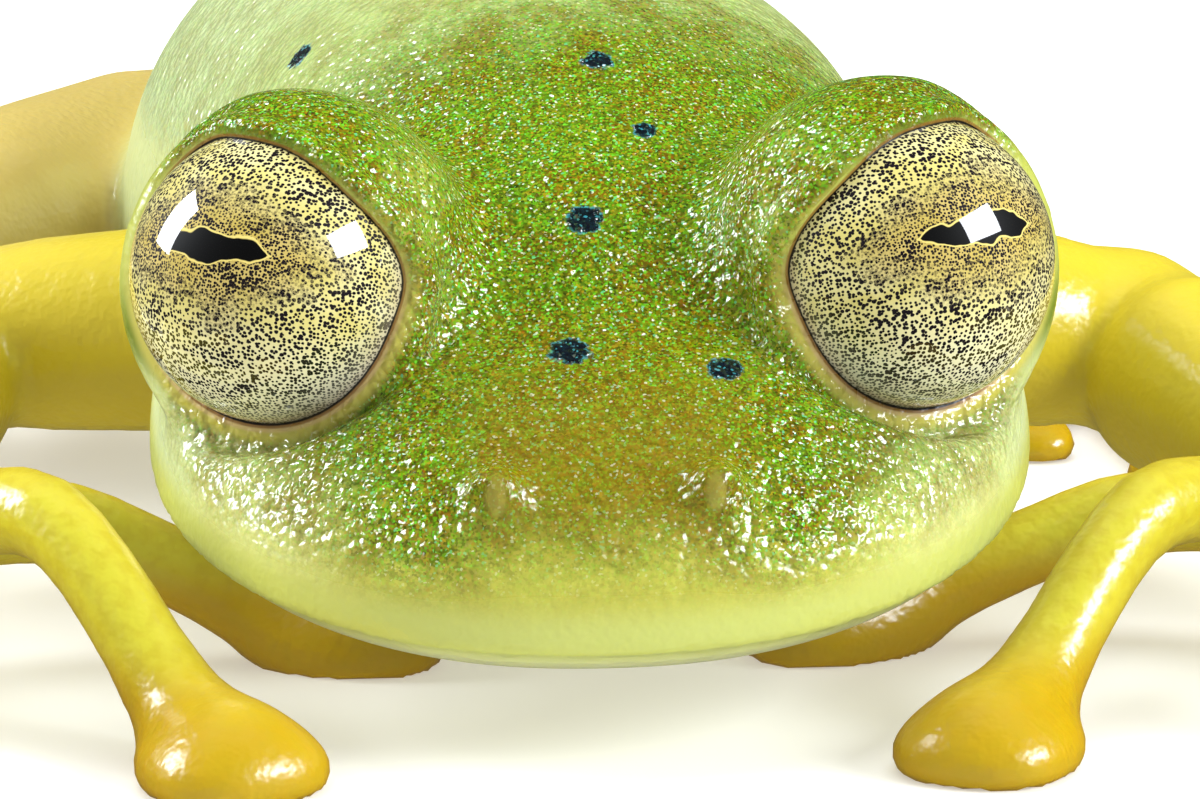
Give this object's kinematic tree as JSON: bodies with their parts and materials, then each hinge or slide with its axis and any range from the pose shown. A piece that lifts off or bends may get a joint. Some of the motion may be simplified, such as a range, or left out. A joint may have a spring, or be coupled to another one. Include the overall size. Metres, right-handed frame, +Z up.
{
  "type": "glass frog",
  "caption": "Life-size glass frog at rest on the floor, head held low, with big forward eyes, finger discs spread wide and the hind legs folded.",
  "frame": {"origin": "on the floor, under the middle of the bounding box", "axes": "-Y the way the snout points, +X the frog's left side, +Z up"},
  "size_m": [0.0286, 0.029, 0.0084],
  "materials": {
    "skin_green": "moist, finely granular green skin with blue-black spots",
    "skin_yellow": "moist, smooth, yellow skin of the jaw, hands and feet",
    "eye": "wet and glossy, pale iris with fine black specks and a level slit pupil"
  },
  "bodies": {
    "root": {"head": "skin_green", "torso": "skin_green", "upper_arm_left": "skin_green", "upper_arm_right": "skin_green", "thigh_left": "skin_green", "thigh_right": "skin_green", "shank_left": "skin_green", "shank_right": "skin_green", "lower_jaw": "skin_yellow", "forearm_left": "skin_yellow", "forearm_right": "skin_yellow", "hand_left": "skin_yellow", "hand_right": "skin_yellow", "tarsus_left": "skin_yellow", "tarsus_right": "skin_yellow", "foot_left": "skin_yellow", "foot_right": "skin_yellow", "eye_left": "eye", "eye_right": "eye"}
  },
  "joints": []
}
